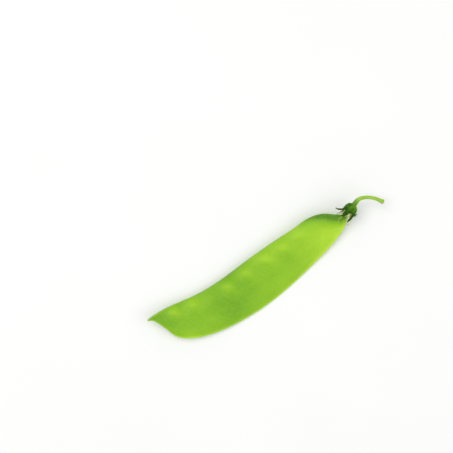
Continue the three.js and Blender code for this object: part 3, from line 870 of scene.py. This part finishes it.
def cut_end(ring, inner):
    """The rings of the stalk's dry, uneven cut within its last ring, and the cut's middle."""
    centre = ring.mean(0)
    out = unit(centre - inner.mean(0))
    uneven = ragged(turns_round(STALK_SIDES), STALK_RAGGED)
    depths = [out * (depth + uneven * rough)[:, None] for _, depth, rough in STALK_CUT]
    rings = [centre + (ring - centre) * cut[0] + deep for cut, deep in zip(STALK_CUT, depths)]
    return rings, centre + STALK_CUT_MIDDLE * out


def make_stalk(shift):
    """The stalk, with the receptacle that it swells into inside the cup, and its cut end."""
    path, radii, distance = stalk_bar()
    rings = tube(path, radii, STALK_SIDES, STALK_RIDGES, STALK_RIDGE_DEPTH)
    cut, cut_middle = cut_end(rings[-1], rings[-2])
    last = len(rings) - 1
    dry = np.append(smooth(np.arange(last + 1), last - STALK_CUT_FADES, last), np.ones(len(cut)))
    by_cup = np.append(1 - smooth(distance, *STALK_DARK), np.zeros(len(cut)))
    middles = np.array([rings[0].mean(0), cut_middle])
    rings = np.concatenate([rings, cut])
    ridge = 0.5 + 0.5 * np.cos(STALK_RIDGES * turns_round(STALK_SIDES))
    looks = {  # each ends with the two middles
        "cut": np.append(np.repeat(dry, STALK_SIDES), [0, 1]),
        "neck": np.append(np.repeat(by_cup, STALK_SIDES), [1, 0]),
        "ridge": np.append(np.tile(ridge, len(rings)), [0, 0]),
    }
    points = from_cup(np.concatenate([rings.reshape(-1, 3), middles]), shift)
    return make_piece("stalk_stem", points, closed_faces(len(rings), STALK_SIDES), looks)


# -------- material nodes

GRAIN_SPAN = (0.3, 0.7)  # what most of the noise lies between
NET_BENDS, NET_SHIFT = 0.4, 0.8  # of a net's lines: how many for each cell, and how far, in cells


def colour(code):
    """A shader colour from a web colour."""
    parts = (int(code[k : k + 2], 16) / 255 for k in (0, 2, 4))
    return (*(c / 12.92 if c <= 0.04045 else ((c + 0.055) / 1.055) ** 2.4 for c in parts), 1.0)


def feed(tree, made, inputs):
    """Sets a node's inputs. Each is a plain value, or the socket of another node that it is linked to."""
    for key, value in inputs.items():
        if isinstance(value, bpy.types.NodeSocket):
            tree.links.new(value, made.inputs[key])
        else:
            made.inputs[key].default_value = value


def node(tree, kind, inputs=None, **settings):
    """A new node with its settings and inputs."""
    made = tree.nodes.new("ShaderNode" + kind)
    for key, value in settings.items():
        setattr(made, key, value)
    feed(tree, made, inputs or {})
    return made


def object_place(tree):
    return node(tree, "TexCoord").outputs["Object"]


def looks_of(tree, name):
    return node(tree, "Attribute", attribute_name=name).outputs["Fac"]


def mix(tree, share, a, b):
    return node(tree, "Mix", {0: share, 6: a, 7: b}, data_type="RGBA").outputs[2]


def times(tree, a, b):
    return node(tree, "Math", {0: a, 1: b}, operation="MULTIPLY").outputs[0]


def plus(tree, a, b):
    return node(tree, "Math", {0: a, 1: b}, operation="ADD").outputs[0]


def tint(tree, base, mask, strength, code):
    """The base colour, turned to a web colour as far as the mask times the strength says."""
    return mix(tree, times(tree, mask, strength), base, colour(code))


def between(tree, value, low, high, to_low=0.0, to_high=1.0):
    """The value mapped from low..high to to_low..to_high, and held there."""
    inputs = {"Value": value, "From Min": low, "From Max": high, "To Min": to_low, "To Max": to_high}
    return node(tree, "MapRange", inputs).outputs[0]


def grain(tree, size, detail, stretch=(1, 1, 1)):
    """Noise whose grains are about size mm, from 0 to 1."""
    scaled = node(tree, "Mapping", {"Vector": object_place(tree), "Scale": stretch}).outputs[0]
    inputs = {"Vector": scaled, "Scale": 1 / (size * MM), "Detail": detail}
    return node(tree, "TexNoise", inputs).outputs["Fac"]


def uneven(tree, low, high, noise):
    """The noise, spread so that it runs from low to high."""
    return between(tree, noise, *GRAIN_SPAN, low, high)


def dots(tree, spacing, size):
    """Small round dots about spacing mm apart, 1 in their middle and 0 beyond size mm."""
    inputs = {"Vector": object_place(tree), "Scale": 1 / (spacing * MM)}
    cells = node(tree, "TexVoronoi", inputs).outputs["Distance"]
    return between(tree, cells, 0.0, size / spacing, 1.0, 0.0)


def net(tree, size, width, slant, stretch):
    """Thin lines round cells about size mm wide, longer at a slant: 1 on a line and 0 beyond width mm."""
    place = object_place(tree)
    noise = node(tree, "TexNoise", {"Vector": place, "Scale": NET_BENDS / (size * MM)}).outputs["Color"]
    reach = (NET_SHIFT * size * MM,) * 3
    bent = node(tree, "VectorMath", {0: noise, 1: reach}, operation="MULTIPLY").outputs[0]
    place = node(tree, "VectorMath", {0: place, 1: bent}, operation="ADD").outputs[0]
    inputs = {"Vector": place, "Rotation": (0, 0, slant), "Scale": (1, stretch, 1)}
    slanted = node(tree, "Mapping", inputs, vector_type="TEXTURE").outputs[0]
    inputs = {"Vector": slanted, "Scale": 1 / (size * MM)}
    cells = node(tree, "TexVoronoi", inputs, feature="DISTANCE_TO_EDGE").outputs["Distance"]
    return between(tree, cells, 0.0, width / size, 1.0, 0.0)


def ramp(tree, value, stops):
    """A colour ramp through (place, web colour) stops."""
    made = node(tree, "ValToRGB", {"Fac": value})
    elements = made.color_ramp.elements
    while len(elements) < len(stops):
        elements.new(0.5)
    for element, (place, code) in zip(elements, stops):
        element.position = place
        element.color = colour(code)
    return made.outputs["Color"]


def bump(tree, height, depth):
    """A bump whose full height is depth mm."""
    return node(tree, "Bump", {"Height": height, "Distance": depth * MM}).outputs[0]


def new_material(name, values):
    """A material, its tree and its shader, whose own sockets hold the given values."""
    material = bpy.data.materials.new(name)
    material.use_nodes = True
    tree = material.node_tree
    shader = tree.nodes["Principled BSDF"]
    feed(tree, shader, values)
    return material, tree, shader


# -------- materials


def pod_material():
    """Waxy satin green, lighter over the peas and at the base, with pale strings, faint veins and dots, and
    with painted shade, light and glow in its tone and a painted highlight on the strings.
    """
    material, tree, shader = new_material("pod_skin", {
        "Subsurface Weight": 0.22,
        "Subsurface Radius": (0.9, 1.3, 0.25),
        "Subsurface Scale": 1.2 * MM,
        "IOR": 1.42,
        "Specular IOR Level": 0.25,
    })
    cloud = uneven(tree, -0.09, 0.09, grain(tree, 9.0, 3.0, (0.6, 1, 1)))
    stops = ((0.0, "50861a"), (0.3, "7cb424"), (0.6, "99ca2a"), (1.0, "bee63e"))
    # the tone carries painted shade by the seam, shoulder and waist, painted light at the neck and edges, and a
    # painted glow over the peas
    skin = ramp(tree, plus(tree, looks_of(tree, "tone"), cloud), stops)
    mottle = between(tree, grain(tree, 1.1, 4.0), 0.42, 0.68, 0.0, 0.22)
    skin = mix(tree, mottle, skin, colour("90c420"))
    veinlets = net(tree, 1.1, 0.1, math.radians(25), 2.6)
    skin = tint(tree, skin, looks_of(tree, "nerve"), 0.16, "b4dc50")
    skin = tint(tree, skin, veinlets, 0.09, "b4dc50")
    skin = tint(tree, skin, dots(tree, 0.9, 0.13), 0.25, "c8e67a")
    # the strings' own paler colour, with a painted highlight along the edges
    skin = tint(tree, skin, looks_of(tree, "rim"), 0.8, "cdea70")
    skin = mix(tree, looks_of(tree, "tip"), skin, colour("a3ab4c"))
    height = plus(tree, grain(tree, 0.42, 3.0), times(tree, dots(tree, 0.9, 0.2), 0.5))
    height = plus(tree, height, times(tree, veinlets, 0.4))
    feed(tree, shader, {
        "Base Color": skin,
        "Roughness": uneven(tree, 0.44, 0.58, grain(tree, 3.0, 4.0)),
        "Normal": bump(tree, height, 0.024),
    })
    return material


def calyx_material():
    """Leaf green darkened by painted shade, darkest on the sepals, with paler veins, brown towards the withered
    margins and tips.
    """
    material, tree, shader = new_material("calyx_green", {
        "Subsurface Weight": 0.12,
        "Subsurface Radius": (0.6, 0.9, 0.2),
        "Subsurface Scale": 0.5 * MM,
        "IOR": 1.42,
        "Specular IOR Level": 0.12,
    })
    # Painted shade: the cup darkens towards the sepals, and the sepals are very dark green
    cup = ((0.0, "5e9418"), (0.12, "3c6e0c"), (0.34, "265204"))
    sepals = ((0.5, "1e4602"), (0.88, "244a04"), (1.0, "584e18"))
    length = plus(tree, looks_of(tree, "length"), uneven(tree, -0.14, 0.14, grain(tree, 1.6, 4.0)))
    leaf = ramp(tree, length, cup + sepals)
    leaf = tint(tree, leaf, looks_of(tree, "vein"), 0.3, "54841e")
    leaf = tint(tree, leaf, looks_of(tree, "margin"), 0.25, "7c9038")
    leaf = tint(tree, leaf, dots(tree, 0.5, 0.12), 0.1, "a9c76a")
    feed(tree, shader, {
        "Base Color": leaf,
        "Roughness": uneven(tree, 0.5, 0.68, grain(tree, 0.9, 3.0)),
        "Normal": bump(tree, grain(tree, 0.3, 3.0), 0.03),
    })
    return material


def stamen_material():
    """Dry straw threads that turn brown at the anthers."""
    material, tree, shader = new_material("stamens_dry", {
        "Subsurface Weight": 0.1,
        "Subsurface Scale": 0.3 * MM,
        "IOR": 1.4,
        "Specular IOR Level": 0.3,
        "Roughness": 0.7,
    })
    streak = grain(tree, 0.5, 4.0)
    length = plus(tree, looks_of(tree, "length"), uneven(tree, -0.2, 0.2, streak))
    dry = ramp(tree, length, ((0.0, "b4cc60"), (0.45, "cfe08c"), (0.85, "c9d67a"), (1.0, "b6b058")))
    bag = mix(tree, between(tree, streak, 0.35, 0.65), colour("9a9440"), colour("ccca78"))
    feed(tree, shader, {
        "Base Color": mix(tree, looks_of(tree, "anther"), dry, bag),
        "Normal": bump(tree, grain(tree, 0.2, 4.0), 0.03),
    })
    return material


def stalk_material():
    """Pale green with lighter ridges, darker by the calyx, and a dry fibrous cut."""
    material, tree, shader = new_material("stalk_green", {
        "Subsurface Weight": 0.18,
        "Subsurface Radius": (0.8, 1.1, 0.3),
        "Subsurface Scale": 0.8 * MM,
        "IOR": 1.42,
        "Specular IOR Level": 0.4,
    })
    stem = mix(tree, uneven(tree, 0.0, 1.0, grain(tree, 2.4, 4.0)), colour("84b824"), colour("9fcc38"))
    stem = tint(tree, stem, looks_of(tree, "ridge"), 0.35, "bcdc66")
    stem = tint(tree, stem, looks_of(tree, "neck"), 0.95, "5a8e16")
    stem = tint(tree, stem, dots(tree, 0.7, 0.12), 0.3, "cfe09a")
    fibres = mix(tree, grain(tree, 0.35, 4.0), colour("7c6a34"), colour("d2cf9a"))
    feed(tree, shader, {
        "Base Color": mix(tree, looks_of(tree, "cut"), stem, fibres),
        "Roughness": uneven(tree, 0.42, 0.58, grain(tree, 1.2, 3.0)),
        "Normal": bump(tree, grain(tree, 0.3, 3.0, (0.3, 1, 1)), 0.02),
    })
    return material


# -------- stage, in metres and watts

LIGHTS = [
    dict(name="key", place=(-0.22, 0.3, 0.8), size=0.6, power=3.6),
    dict(name="fill", place=(0.45, -0.35, 0.7), size=0.8, power=2.3),
]
SKY_STRENGTH = 0.5
FLOOR_SIZE = 3


def make_floor():
    bpy.ops.mesh.primitive_plane_add(size=FLOOR_SIZE)
    floor = bpy.context.object
    floor.name = "floor"
    material, tree, shader = new_material("floor_paper", {"Roughness": 0.9, "Specular IOR Level": 0.1})
    paper = mix(tree, grain(tree, 60.0, 2.0), colour("f8f8f7"), colour("fcfcfb"))
    feed(tree, shader, {"Base Color": paper})
    floor.data.materials.append(material)


def make_light(name, place, size, power):
    """A square soft light that faces the pod."""
    data = bpy.data.lights.new(name, "AREA")
    data.size = size
    data.energy = power
    light = new_object(name, data)
    light.location = place
    light.rotation_euler = (-Vector(place)).to_track_quat("-Z", "Y").to_euler()


def make_sky():
    world = bpy.data.worlds.new("sky")
    world.use_nodes = True
    background = world.node_tree.nodes["Background"]
    feed(world.node_tree, background, {"Color": (1, 1, 1, 1), "Strength": SKY_STRENGTH})
    bpy.context.scene.world = world
    bpy.context.scene.view_settings.view_transform = "Standard"


def make_camera():
    """A camera straight over the pod, as in the photograph."""
    data = bpy.data.cameras.new("camera")
    data.lens = LENS
    data.sensor_width = SENSOR
    data.clip_start = 0.01
    camera = new_object("camera", data)
    distance = VIEW_WIDTH * LENS / SENSOR
    camera.location = Vector((*VIEW_MIDDLE, VIEW_HEIGHT + distance)) * MM
    camera.rotation_euler = (0, 0, VIEW_TURN)
    bpy.context.scene.camera = camera


# -------- assembly


def dress(piece, material, slot, *nodes):
    """Gives a piece its material and its body, and hides the solids that it stands for. The slot is not used.
    """
    piece.data.materials.clear()
    piece.data.materials.append(material)
    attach(piece, "root")
    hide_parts(*nodes)


make_camera()
pod_piece, SHIFT = make_pod()
dress(pod_piece, pod_material(), "pod_skin", "pod")
dress(make_calyx(SHIFT), calyx_material(), "calyx_green", "calyx")
dry_material = stamen_material()
dress(make_threads(SHIFT), dry_material, "stamens_dry", "stamens")
dress(make_sheath(SHIFT), dry_material, "stamens_dry", "stamens")
dress(make_stalk(SHIFT), stalk_material(), "stalk_green", "stalk")
make_floor()
for light in LIGHTS:
    make_light(**light)
make_sky()
